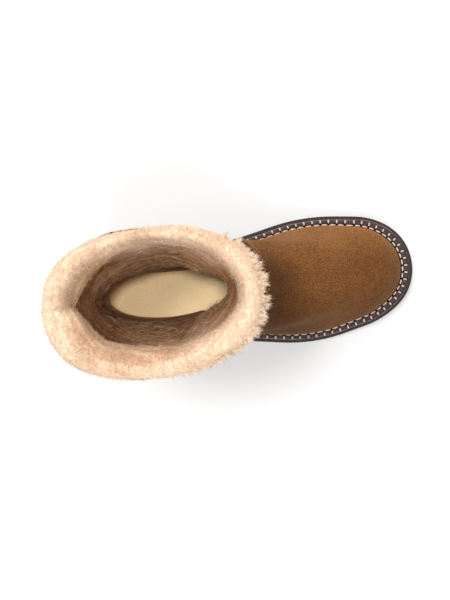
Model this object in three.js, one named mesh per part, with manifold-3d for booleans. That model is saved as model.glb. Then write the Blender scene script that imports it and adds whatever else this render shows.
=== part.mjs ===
// A right-foot sheepskin boot, standing empty on its sole, in millimetres with +Z up.
// +X points to the toe and +Y to the inner side of the foot. The pieces are modelled with X = 0 at the
// back of the outsole, and the finished boot is then moved so that the middle of its bounding box, on the
// floor, is the origin.
//
// Every piece is a loft through rings of the same stations. Station 0 is the toe, the stations run along
// the inner side to the heel and come back along the outer side, and a station and its opposite number
// across the boot share one X. The upper is sheepskin, so its wall is the suede and the wool together.

import * as THREE from "three";
import { mergeVertices } from "three/addons/utils/BufferGeometryUtils.js";
import Module from "manifold-3d";

// ---- driving dimensions ----

const LENGTH = 271; // outsole, heel to toe
const STATIONS = 64; // around every ring, an even number
const GAP = 0.3; // between pieces that meet

const HEEL_RADIUS = 38; // plan radius of the outsole's two ends
const TOE_RADIUS = 44;
const TOE_DRIFT = 3; // the toe's round end lies this far towards the inner side

// Plan width of the outsole on each side of the line from heel to toe.
const SOLE_WIDTHS = [
  { x: 0, inner: 36.5, outer: 37.5 },
  { x: 40, inner: 37, outer: 38 },
  { x: 75, inner: 36.4, outer: 39 },
  { x: 105, inner: 36.8, outer: 42.4 },
  { x: 140, inner: 43, outer: 47.9 },
  { x: 170, inner: 49.7, outer: 52.2 },
  { x: 198, inner: 51.2, outer: 50.8 },
  { x: 228, inner: 48.2, outer: 43.9 },
  { x: 251, inner: 47, outer: 40.3 },
  { x: 271, inner: 48, outer: 41 },
];

// Side view of the outsole: its underside and its top, with arch and toe spring.
const SOLE_HEIGHTS = [
  { x: 0, under: 2.2, top: 20.5 },
  { x: 16, under: 0, top: 20 },
  { x: 88, under: 0, top: 18.5 },
  { x: 118, under: 1.8, top: 16.5 },
  { x: 148, under: 0, top: 14.5 },
  { x: 206, under: 0, top: 14.5 },
  { x: 240, under: 2.6, top: 16.8 },
  { x: 271, under: 7.5, top: 21 },
];

// The outsole's edge, from the floor to its top: distance in from the outline, and height up from the
// underside or down from the top.
const SOLE_EDGE = [
  { inset: 2.6, up: 0 },
  { inset: 0.9, up: 0.9 },
  { inset: 0, up: 3 },
  { inset: 0, down: 3 },
  { inset: 0.7, down: 0.9 },
  { inset: 2.2, down: 0 },
];

const LUG = { pitch: 12.5, groove: 3.2, depth: 2.4, margin: 8 }; // bars of the tread
const TREAD = [
  { from: 22, to: 76 }, // heel
  { from: 146, to: 250 }, // forefoot
];

const LEDGE = 3.4; // outsole seen outside the welt
const WELT_HEIGHT = 7.5; // stitched strip that stands on the outsole around the upper

// Distance from the outsole's outline to the line where the upper meets the sole.
const FEATHER = [
  { x: 0, inset: 8 },
  { x: 120, inset: 9.5 },
  { x: 215, inset: 10.1 },
  { x: 262, inset: 12 },
  { x: 271, inset: 12 },
];

const FOOT_WALL = 9.5; // suede and pressed wool around the foot
// Suede and loose wool in the shaft: deeper at front and back than at the sides, and deepest between
// them, so that the way in is an almond.
const SHAFT_WALL = { sides: 14.5, ends: 4, corners: 3.5 };
const SUEDE_TOP = 228; // height of the suede's cut edge
const WOOL_ROLL = { out: 2.2, up: 12.5 }; // how far the wool stands out and up from that edge
const INSOLE = { thickness: 4.5, clear: 0.5 };

// The upper's outer surface, a row for each ring from the sole to the suede's cut edge. A ring leans from
// height zBack at the heel to zFront at the toe and spans X from back to front. Its plan is the feather
// line drawn in by tuck, turning into an oval of this half width as oval goes from 0 to 1, and as long as
// it isn't an oval it also follows the curve of the sole's top.
const SEAT = 20; // height of the sole's top under heel and toe
const UPPER = [
  { zBack: SEAT + GAP, zFront: SEAT + GAP, back: 8, front: 259, tuck: 0, oval: 0, half: 31 },
  { zBack: 28, zFront: 28, back: 8, front: 259, tuck: 0, oval: 0, half: 31 },
  { zBack: 37, zFront: 37, back: 6, front: 258.2, tuck: -1.8, oval: 0, half: 33 },
  { zBack: 50, zFront: 49, back: 5.5, front: 253.5, tuck: 0, oval: 0, half: 34.5 },
  { zBack: 64, zFront: 62, back: 6, front: 244, tuck: 4, oval: 0.15, half: 36 },
  { zBack: 80, zFront: 75, back: 7.5, front: 227.5, tuck: 9, oval: 0.5, half: 37 },
  { zBack: 98, zFront: 88, back: 9, front: 204, tuck: 12, oval: 0.85, half: 38 },
  { zBack: 117, zFront: 102, back: 9.5, front: 176, tuck: 14, oval: 1, half: 38.5 },
  { zBack: 137, zFront: 119, back: 8.5, front: 153, tuck: 14, oval: 1, half: 39.5 },
  { zBack: 158, zFront: 142, back: 6.5, front: 139.5, tuck: 14, oval: 1, half: 41 },
  { zBack: 180, zFront: 171, back: 3.5, front: 135.5, tuck: 14, oval: 1, half: 43.3 },
  { zBack: 204, zFront: 201, back: 0.8, front: 136.3, tuck: 14, oval: 1, half: 45.8 },
  { zBack: SUEDE_TOP, zFront: SUEDE_TOP, back: -2, front: 139.5, tuck: 14, oval: 1, half: 47.9 },
];
const WELT_ROW = 1; // the row at the welt's top
const SHAFT_FROM = { row: 5, full: 9 }; // rows between which the foot's wall turns into the shaft's
const ANKLE = 90; // height from which the shaft leans to the outer side
const COLLAR_LEAN = { back: -2.5, front: -0.8 }; // by this much in Y at the suede's edge
const OVAL_POWER = 2.35; // superellipse of the shaft: 2 is an ellipse

const COLOURS = {
  suede: new THREE.Color(0.36, 0.2, 0.1),
  rubber: new THREE.Color(0.075, 0.05, 0.045),
  welt: new THREE.Color(0.06, 0.042, 0.038),
  footbed: new THREE.Color(0.72, 0.58, 0.4),
};

// ---- curves ----

const mix = (a, b, t) => a + (b - a) * t;

// A smooth curve through a table's rows: the value of one column at any place along another.
function along(rows, key, column) {
  const slope = rows.map((row, i) => {
    const before = rows[Math.max(0, i - 1)];
    const after = rows[Math.min(rows.length - 1, i + 1)];
    return (after[column] - before[column]) / (after[key] - before[key]);
  });
  return (at) => {
    let i = 0;
    while (i < rows.length - 2 && at > rows[i + 1][key]) i++;
    const span = rows[i + 1][key] - rows[i][key];
    const t = Math.min(1, Math.max(0, (at - rows[i][key]) / span));
    const flat = rows[i][column] === rows[i + 1][column];
    const leave = flat ? 0 : slope[i] * span;
    const arrive = flat ? 0 : slope[i + 1] * span;
    return (
      (2 * t ** 3 - 3 * t ** 2 + 1) * rows[i][column] +
      (t ** 3 - 2 * t ** 2 + t) * leave +
      (3 * t ** 2 - 2 * t ** 3) * rows[i + 1][column] +
      (t ** 3 - t ** 2) * arrive
    );
  };
}

const innerWidth = along(SOLE_WIDTHS, "x", "inner");
const outerWidth = along(SOLE_WIDTHS, "x", "outer");
const soleUnder = along(SOLE_HEIGHTS, "x", "under");
const soleTop = along(SOLE_HEIGHTS, "x", "top");
const featherInset = along(FEATHER, "x", "inset");

// ---- rings ----

const angleOf = (station) => (2 * Math.PI * station) / STATIONS;

// How full the outline is near its two round ends, from 0 at the tip to 1 past the round.
function endRound(x) {
  const into = Math.max((HEEL_RADIUS - x) / HEEL_RADIUS, (x - LENGTH + TOE_RADIUS) / TOE_RADIUS, 0);
  return Math.sqrt(Math.max(0, 1 - into ** 2));
}

// The outsole's outline at one station, a plan point.
function outlinePoint(station) {
  const angle = angleOf(station);
  const x = (LENGTH * (1 + Math.cos(angle))) / 2;
  const drift = TOE_DRIFT * THREE.MathUtils.smoothstep(x, LENGTH / 2, LENGTH);
  const inner = drift + (innerWidth(x) - drift) * endRound(x);
  const outer = drift - (outerWidth(x) + drift) * endRound(x);
  return new THREE.Vector2(x, Math.sin(angle) >= 0 ? inner : outer);
}

// The plan outline drawn in by a distance, which may depend on x.
function outlineRing(inset) {
  const outline = Array.from({ length: STATIONS }, (_, i) => outlinePoint(i));
  return outline.map((point, i) => {
    const next = outline[(i + 1) % STATIONS];
    const last = outline[(i + STATIONS - 1) % STATIONS];
    const inwards = new THREE.Vector2(last.y - next.y, next.x - last.x).normalize();
    return point.clone().addScaledVector(inwards, inset(point.x));
  });
}

// A ring in space, from a plan inset and a height, both functions of x.
function ringAt(inset, height) {
  return outlineRing(inset).map((p) => new THREE.Vector3(p.x, p.y, height(p.x)));
}

// Half width of an oval shaft section at a share of its length.
function ovalWidth(share) {
  const reach = Math.min(1, Math.abs(2 * share - 1));
  return (1 - reach ** OVAL_POWER) ** (1 / OVAL_POWER);
}

// One ring of the upper's outer surface, at a row number that may lie between two rows.
const upperRows = UPPER.map((row, index) => ({ ...row, index }));
const upperColumn = Object.fromEntries(
  ["zBack", "zFront", "back", "front", "tuck", "oval", "half"].map((name) => [
    name,
    along(upperRows, "index", name),
  ]),
);

function upperRing(index) {
  const row = Object.fromEntries(
    Object.entries(upperColumn).map(([name, column]) => [name, column(index)]),
  );
  const feather = outlineRing((x) => featherInset(x) + row.tuck);
  const heel = feather[STATIONS / 2].x;
  const toe = feather[0].x;
  return feather.map((point, station) => {
    const share = (point.x - heel) / (toe - heel);
    const side = Math.sin(angleOf(station)) >= 0 ? 1 : -1;
    const x = mix(row.back, row.front, share);
    const z = mix(row.zBack, row.zFront, share) + (soleTop(x) - SEAT) * (1 - row.oval);
    const lean = Math.max(0, (z - ANKLE) / (SUEDE_TOP - ANKLE));
    const middle = lean * mix(COLLAR_LEAN.back, COLLAR_LEAN.front, share);
    const ovalY = middle + side * row.half * ovalWidth(share);
    return new THREE.Vector3(x, mix(point.y, ovalY, row.oval), z);
  });
}

// ---- lofts ----

function geometryOf(points, triangles) {
  const geometry = new THREE.BufferGeometry();
  geometry.setAttribute(
    "position",
    new THREE.Float32BufferAttribute(points.flatMap((p) => [p.x, p.y, p.z]), 3),
  );
  geometry.setIndex(triangles);
  geometry.computeVertexNormals();
  return geometry;
}

// The wall between one ring and the ring after it, with its faces pointing out when the rings rise.
function wall(triangles, from, to) {
  for (let i = 0; i < STATIONS; i++) {
    const j = (i + 1) % STATIONS;
    triangles.push(from + i, from + j, to + j, from + i, to + j, to + i);
  }
}

// A floor across one ring, in strips between each station and its opposite number.
function floorAcross(triangles, start, facingUp) {
  for (let i = 0; i < STATIONS / 2; i++) {
    const near = [start + i, start + i + 1];
    const far = [start + ((STATIONS - i) % STATIONS), start + STATIONS - i - 1];
    const faces = [];
    if (i > 0) faces.push([near[0], near[1], far[0]]);
    if (i < STATIONS / 2 - 1) faces.push([near[1], far[1], far[0]]);
    if (i === 0) faces[0] = [near[0], near[1], far[1]];
    for (const [a, b, c] of faces) triangles.push(...(facingUp ? [a, b, c] : [a, c, b]));
  }
}

// A solid through rings that rise from a closed bottom to a closed top.
function solidLoft(rings) {
  const triangles = [];
  floorAcross(triangles, 0, false);
  for (let r = 0; r < rings.length - 1; r++) wall(triangles, r * STATIONS, (r + 1) * STATIONS);
  floorAcross(triangles, (rings.length - 1) * STATIONS, true);
  return geometryOf(rings.flat(), triangles);
}

// A hoop through rings that go up outside, over and down inside, back to the first.
function hoopLoft(rings) {
  const triangles = [];
  rings.forEach((_, r) => wall(triangles, r * STATIONS, ((r + 1) % rings.length) * STATIONS));
  return geometryOf(rings.flat(), triangles);
}

// ---- pieces ----

const wasm = await Module();
wasm.setup();

function asManifold(geometry) {
  const bare = geometry.clone();
  bare.deleteAttribute("normal");
  bare.deleteAttribute("uv");
  const merged = mergeVertices(bare, 1e-4);
  return new wasm.Manifold(
    new wasm.Mesh({
      numProp: 3,
      vertProperties: new Float32Array(merged.attributes.position.array),
      triVerts: new Uint32Array(merged.index.array),
    }),
  );
}

function asGeometry(manifold) {
  const { vertProperties, triVerts } = manifold.getMesh();
  const geometry = new THREE.BufferGeometry();
  geometry.setAttribute("position", new THREE.BufferAttribute(vertProperties, 3));
  geometry.setIndex(new THREE.BufferAttribute(triVerts, 1));
  geometry.computeVertexNormals();
  return geometry;
}

// One groove between two lugs: a slot with round ends across the sole, following the toe spring.
function treadGroove(x) {
  const radius = LUG.groove / 2;
  const reach = {
    inner: innerWidth(x) * endRound(x) - LUG.margin,
    outer: -outerWidth(x) * endRound(x) + LUG.margin,
  };
  const slot = new THREE.Shape();
  slot.absarc(0, reach.inner, radius, 0, Math.PI, false);
  slot.absarc(0, reach.outer, radius, Math.PI, 2 * Math.PI, false);
  slot.closePath();
  const cutter = new THREE.ExtrudeGeometry(slot, {
    depth: 2 * LUG.depth,
    bevelEnabled: false,
    curveSegments: 5,
  });
  return cutter.translate(x, 0, soleUnder(x) - LUG.depth);
}

function makeOutsole() {
  const rings = SOLE_EDGE.map(({ inset, up, down }) =>
    ringAt(
      () => inset,
      (x) => (down === undefined ? soleUnder(x) + up : soleTop(x) - down),
    ),
  );
  let sole = asManifold(solidLoft(rings));
  for (const { from, to } of TREAD) {
    for (let x = from; x <= to; x += LUG.pitch) sole = sole.subtract(asManifold(treadGroove(x)));
  }
  return asGeometry(sole);
}

// The welt's section, from its outer foot over the top to its inner foot.
function makeWelt() {
  const inner = (x) => featherInset(x) - GAP;
  const outer = () => LEDGE;
  const across = (share) => (x) => mix(outer(), inner(x), share);
  const above = (height) => (x) => soleTop(x) + height;
  return hoopLoft([
    ringAt(outer, above(GAP)),
    ringAt(outer, above(WELT_HEIGHT - 2.2)),
    ringAt(across(0.12), above(WELT_HEIGHT - 0.9)),
    ringAt(across(0.4), above(WELT_HEIGHT - 0.1)),
    ringAt(across(0.75), above(WELT_HEIGHT)),
    ringAt(inner, above(WELT_HEIGHT - 0.5)),
    ringAt(inner, above(GAP)),
  ]);
}

function makeInsole() {
  const edge = (x) => featherInset(x) + FOOT_WALL + INSOLE.clear;
  const crown = (x) => edge(x) + 2.5;
  return solidLoft([
    ringAt(edge, (x) => soleTop(x) + GAP),
    ringAt(edge, (x) => soleTop(x) + INSOLE.thickness - 1.5),
    ringAt(crown, (x) => soleTop(x) + INSOLE.thickness),
  ]);
}

// Outward directions of a stack of rings, from the surface that they span.
function normalsOf(rings) {
  return rings.map((ring, r) =>
    ring.map((_, i) => {
      const around = new THREE.Vector3()
        .copy(ring[(i + 1) % STATIONS])
        .sub(ring[(i + STATIONS - 1) % STATIONS]);
      const up = new THREE.Vector3()
        .copy(rings[Math.min(r + 1, rings.length - 1)][i])
        .sub(rings[Math.max(r - 1, 0)][i]);
      return around.cross(up).normalize();
    }),
  );
}

// The wall's depth at a station, from the foot (0) to the shaft (1).
function wallDepth(station, shaft) {
  const angle = angleOf(station);
  const { sides, ends, corners } = SHAFT_WALL;
  const depth = sides + ends * Math.cos(angle) ** 2 + corners * Math.sin(2 * angle) ** 2;
  return mix(FOOT_WALL, depth, shaft);
}

// The upper's outer surface, the roll of wool over the collar, and the inner surface down to the sole.
// Below the welt's top its wall stands upright.
function makeUpper() {
  const steps = [0];
  for (let index = WELT_ROW; index <= UPPER.length - 1; index += 0.5) steps.push(index);
  const outer = steps.map(upperRing);
  const normals = normalsOf(outer);

  const inner = outer.map((ring, r) =>
    ring.map((point, station) => {
      const shaft = THREE.MathUtils.smoothstep(steps[r], SHAFT_FROM.row, SHAFT_FROM.full);
      const outwards = normals[r][station].clone();
      if (steps[r] <= WELT_ROW) outwards.setZ(0).normalize();
      return point.clone().addScaledVector(outwards, -wallDepth(station, shaft));
    }),
  );

  const rollTurns = [-0.12, 0.12, 0.34, 0.56, 0.78, 1]; // shares of a half turn over the collar
  const roll = rollTurns.map((turn) =>
    outer.at(-1).map((point, station) => {
      const radius = (WOOL_ROLL.out + wallDepth(station, 1)) / 2;
      const outwards = normals.at(-1)[station].clone().setZ(0).normalize();
      return point
        .clone()
        .addScaledVector(outwards, WOOL_ROLL.out - radius + radius * Math.cos(Math.PI * turn))
        .setZ(SUEDE_TOP + 1 + WOOL_ROLL.up * Math.sin(Math.PI * turn));
    }),
  );
  const wayDown = inner.filter((_, r) => Number.isInteger(steps[r])).slice(0, -1);
  return hoopLoft([...outer, ...roll, ...wayDown.reverse()]);
}

// ---- the boot ----

function node(name, geometry, colour, roughness) {
  const material = new THREE.MeshStandardMaterial({ color: colour, roughness, metalness: 0 });
  const mesh = new THREE.Mesh(geometry, material);
  mesh.name = name;
  return mesh;
}

const boot = new THREE.Group();
boot.add(
  node("outsole", makeOutsole(), COLOURS.rubber, 0.55),
  node("welt", makeWelt(), COLOURS.welt, 0.6),
  node("insole", makeInsole(), COLOURS.footbed, 0.95),
  node("upper", makeUpper(), COLOURS.suede, 0.95),
);

const bounds = new THREE.Box3().setFromObject(boot);
const middle = bounds.getCenter(new THREE.Vector3());
boot.position.set(-middle.x, -middle.y, -bounds.min.z);

export default boot;
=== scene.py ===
"""A right-foot sheepskin boot: suede over a deep wool lining, on a stitched welt and a thick dark sole."""

import math

import bmesh
import bpy
import numpy as np
from mathutils import Matrix, Vector, noise
from mathutils.bvhtree import BVHTree
from mathutils.kdtree import KDTree


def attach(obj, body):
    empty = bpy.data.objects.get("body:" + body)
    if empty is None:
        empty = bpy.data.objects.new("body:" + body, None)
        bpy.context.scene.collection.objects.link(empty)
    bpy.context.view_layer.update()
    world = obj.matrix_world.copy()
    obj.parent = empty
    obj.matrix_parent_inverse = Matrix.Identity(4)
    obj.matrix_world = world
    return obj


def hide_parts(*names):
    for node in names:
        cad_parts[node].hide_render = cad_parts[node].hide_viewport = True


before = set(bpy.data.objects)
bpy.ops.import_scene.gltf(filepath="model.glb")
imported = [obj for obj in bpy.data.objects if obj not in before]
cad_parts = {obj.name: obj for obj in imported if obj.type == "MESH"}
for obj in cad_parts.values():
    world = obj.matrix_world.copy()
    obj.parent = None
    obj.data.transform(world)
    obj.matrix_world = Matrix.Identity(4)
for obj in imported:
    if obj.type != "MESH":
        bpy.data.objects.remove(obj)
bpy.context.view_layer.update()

MM = 0.001
WELD = 0.005 * MM  # vertices closer than this are one

# ---- sizes, in millimetres unless a name says otherwise ----

# the upper
SUEDE = 1.4  # thickness of the skin under the nap
SUEDE_TOP = 228.0  # its cut edge under the roll of wool
SUEDE_GAP = 0.1  # between the skin and the wool that fills the wall
LEAST_WALL = 2.2  # what is left between the lining and the outside where the lining leans out
SHAFT_MIDDLE = Vector((-65.0, -1.0, 0.0)) * MM  # the line that the shaft stands around
SHAFT_REACH = 45.0  # about how far its wall is from that line

# the line down the middle of the hollow: heel, ankle, collar, and forward to the toe
HOLLOW = np.array([(-90, 0, 45), (-60, -1, 60), (-64, -1, 110), (-64, -1, 235),
                   (-20, 0, 55), (20, 2, 48), (60, 4, 44), (98, 4, 38)]) * MM
HOLLOW_LEGS = [(3, 2), (2, 1), (0, 1), (1, 4), (4, 5), (5, 6), (6, 7)]

# the seams on the suede
BACK_SEAM = 4.0  # how far it lies towards the inner side
VAMP_SEAM = (2.0, 121.0)  # how far forward and up it crosses the front of the ankle
VAMP_LEAN = 28.0  # degrees that it leans back on its way down
SEAM_STITCH, SEAM_GAP, SEAM_THREAD = 2.6, 1.2, 0.8  # length of a stitch, gap to the next, thread width
SEAM_SHADE = 5.0  # how far to each side of a seam the suede is painted darker, as painted shade along the seam
SEAM_PUFF = 1.1  # how far the suede swells beside the back seam
VAMP_LAP = 0.7  # how far the vamp stands above the shaft along their seam
# what runs along each seam, and how far from it: towards the inner side, and forward
BACK_ROWS = {"outer": -3.0, "edge": 0.0, "inner": 3.0}
VAMP_ROWS = {"edge": 0.3, "first": 2.2, "second": 4.8}
SEAM_LOW, SEAM_HIGH, SEAM_STEP = 31, 224, 1.5  # the heights that the back seam is followed at
BEHIND_BOOT = -250.0  # well behind the heel
INSIDE_ANKLE = 62  # how far below the bend the middle of the vamp seam's arch is, down the lean

# creases: at the front or not, height, how much lower at the sides, depth and width
ANKLE_CREASES = [(True, 150, 0.5, 1.3, 4.5), (True, 134, 0.35, 1.6, 4.0), (True, 170, 0.4, 0.8, 5.0),
                 (False, 112, -0.3, 0.6, 7.0), (False, 90, -0.2, 0.5, 6.0)]

# the lining
WAIST_MIDDLE = np.array([-65.8, 1.8])  # the oval that the wool closes in to above the insole
WAIST_HALF = np.array([48.8, 19.2])
FOLDS = [(46, 2.0), (78, 2.5), (118, 3.0), (160, 3.0)]  # at the heel: height and depth

# the wool
ROLL_FROM = (SUEDE_TOP - 4) * MM  # the roll's strands grow above this
LOCK_SIDES, LOCK_STATIONS = 3, 3
STREAK_LONG, STREAK_WIDE = 24, 5  # the streaks where it is matted
PALEST_TONE = 1.5  # of the wool's tones, where 0 is brown, 0.5 tan and 1 cream, and above 1 the painted highlight

# the sole and the welt
SOLE_LEVEL = 11.0  # the height that the sole's outline is taken at
FEATHER_LEVEL = 21.5  # and the upper's, where the two meet
LEDGE = 3.4  # the sole's flat rim outside the welt
CHANNEL = 2.6  # width of the low strip beside the upper, which the running stitch lies in
CHANNEL_DEPTH = 1.5  # how far that strip lies below the rest
WELT_DOME = 0.5  # how far it is rounded up between its edges
WELT_PINCH, PINCH_WIDTH = 0.9, 0.9  # how far each cross stitch draws it down, and over what width
WELT_RIBS, RIB_HEIGHT = 4, 0.07  # the fine ribs along it
BEAD = 0.32  # radius of the fine raised line along the welt's outer edge
WELT_CLEAR = 60.0  # a height that is well above the welt
BED_WIDER, BED_LONGER = 4.0, 5.0  # how far the footbed runs on under the wool at the heel

# the stitches on the welt; how far out is counted from the upper
STITCH_PITCH = 7.0
THREAD = 1.25  # width
THREAD_SIDES = 8
CROSS_FROM, CROSS_TO = 3.6, 6.3
RUNNING_OUT, RUNNING_GAP = 2.1, 0.9  # and half the gap between two of them
# the disc of painted shade in each stitch hole: how far out, and its half width across and along
HOLE_OUT, HOLE_ACROSS, HOLE_ALONG = 2.5, 1.1, 0.75

# ---- what changes round the shaft: angles in degrees from the toe side towards the inner side ----

# how far the lining leans in over the opening
BULGE = [(0, -3.5), (30, -4.0), (60, -5.0), (90, -6.5), (120, -5.0), (131, -4.0), (146, -1.7), (161, 0.2),
         (170, 0.5), (177, -1.0), (184, 2.5), (190, 4.8), (198, 3.8), (212, 2.8), (225, 3.8), (240, 5.0),
         (260, 4.5), (275, 3.5), (290, 1.5), (310, 1.5), (330, 0.0), (345, -2.0)]
# how far the suede and the roll are drawn in at the top
EASE = [(0, 4.2), (45, 3.0), (90, 0.6), (135, 0.2), (180, -1.2), (225, 0.6), (270, 2.0), (315, 3.2)]
# how far the suede's cut edge flares out under the roll
FLARE = [(0, 0.0), (30, 0.1), (60, 0.3), (90, 1.2), (112, 2.2), (150, 2.2), (168, 1.0), (230, 1.0),
         (255, 1.8), (270, 1.4), (300, 0.6), (330, 0.1)]
# how far the roll slopes down into the boot
SLOPE = [(0, 0.0), (100, 0.0), (128, 6.0), (150, 11.0), (168, 11.0), (177, 4.0), (184, 0.0)]
# how far the lining is hollowed under the roll
UNDER = [(0, 0.5), (30, 0.0), (60, 0.0), (100, 0.0), (130, 3.0), (150, 8.0), (172, 8.0), (178, 5.0),
         (190, 6.0), (225, 6.0), (250, 3.0), (280, 0.0), (330, 0.0)]
# the height that the wool turns pale above: below it the wool is browner, partly its own tone and partly
# painted shade down inside the shaft
PALE_FROM = [(0, 200), (30, 188), (60, 168), (90, 160), (120, 168), (150, 198), (180, 208), (225, 203),
             (262, 192), (300, 165), (325, 175), (345, 195)]
PALE_BY = 236  # the height where it is palest
# how pale it is on the roll: its own cream, with painted light and shade set round the shaft
PALEST = [(0, 0.9), (60, 0.8), (100, 0.75), (140, 0.8), (180, 0.92), (215, 0.72), (260, 0.9), (300, 0.93)]
# how much darker it is painted where the roll turns in: painted shade where the slope faces away from the
# light, and painted light where the number is below 0
TURNED_IN_SHADE = [(0, 0.05), (40, 0.0), (65, -0.35), (90, -0.6), (112, -0.4), (125, 0.0), (140, 0.4),
             (155, 0.52), (172, 0.52), (181, 0.1), (195, 0.4), (225, 0.5), (260, 0.5), (290, 0.25),
             (320, 0.05)]
# how thick the tufts stand on the roll
TUFTED = [(0, 1.0), (15, 1.0), (26, 0.85), (36, 0.5), (42, 0.1), (50, 0.0), (262, 0.0), (275, 0.1),
          (295, 0.4), (315, 0.8), (335, 1.0)]

# ---- camera and light ----

CAMERA_HEIGHT = 950.0  # above the floor
CAMERA_OVER = (-18.7, 11.8)  # the floor point straight under it
CAMERA_TURN = 6.3  # degrees that the boot's toe points up from straight to the right
CAMERA_NOD = 1.28  # degrees that it looks off straight down, towards the boot's outer side
CAMERA_LENS, CAMERA_SENSOR = 67.26, 36.0
SKY = 0.86  # strength of the soft light from all round
# which way each sun's light goes, how strong it is, and how soft, in degrees
SUNS = {"overhead": ((-0.03, -0.03, -1.0), 1.5, 5), "behind": ((0.24, -0.16, -1.0), 1.4, 10),
        "window": ((0.1, -0.93, -0.37), 1.5, 25), "fill": ((0.0, 0.45, -1.0), 0.8, 20)}
FLOOR_SIZE, FLOOR_GREY = 6.0, 0.55  # metres across, and how pale the paper is
FLOOR_DROP = 0.2  # how far it lies under the sole


def make_camera():
    camera = bpy.data.objects.new("camera", bpy.data.cameras.new("camera"))
    bpy.context.collection.objects.link(camera)
    camera.data.sensor_fit = "AUTO"
    camera.data.sensor_width = CAMERA_SENSOR
    camera.data.lens = CAMERA_LENS
    turn = math.radians(CAMERA_TURN)
    view_up = Vector((math.sin(turn), math.cos(turn), 0.0))
    view_right = Vector((math.cos(turn), -math.sin(turn), 0.0))
    nod = math.radians(CAMERA_NOD)
    look = Vector((0.0, 0.0, -math.cos(nod))) - view_up * math.sin(nod)
    axes = Matrix((view_right, view_right.cross(look), -look)).transposed()
    stand = Vector((*CAMERA_OVER, CAMERA_HEIGHT)) * MM
    camera.matrix_world = Matrix.Translation(stand) @ axes.to_4x4()
    bpy.context.scene.camera = camera


def make_studio():
    scene = bpy.context.scene
    scene.view_settings.view_transform = "Standard"
    world = bpy.data.worlds.new("studio")
    scene.world = world
    world.use_nodes = True
    sky = world.node_tree.nodes["Background"]
    sky.inputs["Color"].default_value = (1.0, 0.99, 0.98, 1.0)
    sky.inputs["Strength"].default_value = SKY
    for name, (towards, strength, softness) in SUNS.items():
        sun = bpy.data.objects.new(name, bpy.data.lights.new(name, "SUN"))
        sun.data.energy = strength
        sun.data.angle = math.radians(softness)
        sun.rotation_mode = "QUATERNION"
        sun.rotation_quaternion = Vector(towards).to_track_quat("-Z", "Y")
        bpy.context.collection.objects.link(sun)
    bpy.ops.mesh.primitive_plane_add(size=FLOOR_SIZE)
    floor = bpy.context.object
    floor.name = "floor"
    floor.location.z = -FLOOR_DROP * MM
    grey = (FLOOR_GREY, FLOOR_GREY, FLOOR_GREY, 1.0)
    paper = Finish("white floor paper", {"Base Color": grey, "Roughness": 0.9})
    floor.data.materials.append(paper.material)


# ---- materials ----


class Field:
    """A value that varies over a surface: arithmetic on it adds Math nodes."""

    def __init__(self, finish, socket):
        self.finish = finish
        self.socket = socket

    def _math(self, operation, *values):
        return self.finish.node("ShaderNodeMath", {"operation": operation}, dict(enumerate(values)))

    def __add__(self, other):
        return self._math("ADD", self, other)

    def __sub__(self, other):
        return self._math("SUBTRACT", self, other)

    def __rsub__(self, other):
        return self._math("SUBTRACT", other, self)

    def __mul__(self, other):
        return self._math("MULTIPLY", self, other)

    __radd__ = __add__
    __rmul__ = __mul__

    def between(self, low, high):
        """0 below low, 1 above high, and smooth between."""
        values = {"Value": self, "From Min": low, "From Max": high}
        return self.finish.node("ShaderNodeMapRange", {"interpolation_type": "SMOOTHSTEP"}, values)


class Finish:
    """A material: one Principled shader, with constants on its sockets and nodes behind what varies."""

    def __init__(self, name, constants):
        self.material = bpy.data.materials.new(name)
        self.material.use_nodes = True
        self.tree = self.material.node_tree
        self.shader = self.tree.nodes["Principled BSDF"]
        for socket, value in constants.items():
            self.shader.inputs[socket].default_value = value

    def node(self, kind, settings, values, output=0):
        """Adds a node. Its settings go in first, then the value or link of each socket."""
        made = self.tree.nodes.new(kind)
        for key, value in settings.items():
            setattr(made, key, value)
        for key, value in values.items():
            if isinstance(value, Field):
                self.tree.links.new(value.socket, made.inputs[key])
            else:
                made.inputs[key].default_value = value
        return Field(self, made.outputs[output])

    def own(self, name):
        """A number that the piece carries at each vertex."""
        return self.node("ShaderNodeAttribute", {"attribute_name": name}, {}, output="Fac")

    def noise(self, size, detail=2.0, roughness=0.5):
        """Soft noise with features of about this size, in millimetres, in the boot's own frame."""
        place = self.node("ShaderNodeTexCoord", {}, {}, output="Object")
        values = {"Vector": place, "Scale": 1.0 / (size * MM), "Detail": detail, "Roughness": roughness}
        return self.node("ShaderNodeTexNoise", {}, values)

    def mix(self, share, first, second):
        """A colour between two."""
        return self.node("ShaderNodeMix", {"data_type": "RGBA"}, {0: share, 6: first, 7: second}, output=2)

    def bump(self, height, depth, strength=1.0):
        """Relief of this depth, in millimetres."""
        values = {"Height": height, "Distance": depth * MM, "Strength": strength}
        return self.node("ShaderNodeBump", {}, values)

    def feed(self, **links):
        """Links what varies to the shader's sockets, and gives the finished material."""
        for name, field in links.items():
            socket = self.shader.inputs[name.replace("_", " ").title()]
            self.tree.links.new(field.socket, socket)
        return self.material


def rgb(red, green, blue):
    """A paint colour given as it looks on a screen, from 0 to 255."""
    shares = [c / 255 for c in (red, green, blue)]
    return (*[((c + 0.055) / 1.055) ** 2.4 if c > 0.04 else c / 12.92 for c in shares], 1.0)


WOOL_DEEP, WOOL_TAN = rgb(136, 88, 42), rgb(180, 147, 119)
# the second colour here is painted light, paler than cream, where the wool's tone goes above 1
WOOL_PALE, WOOL_PAINTED_LIGHT = rgb(221, 195, 169), rgb(244, 228, 206)


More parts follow.
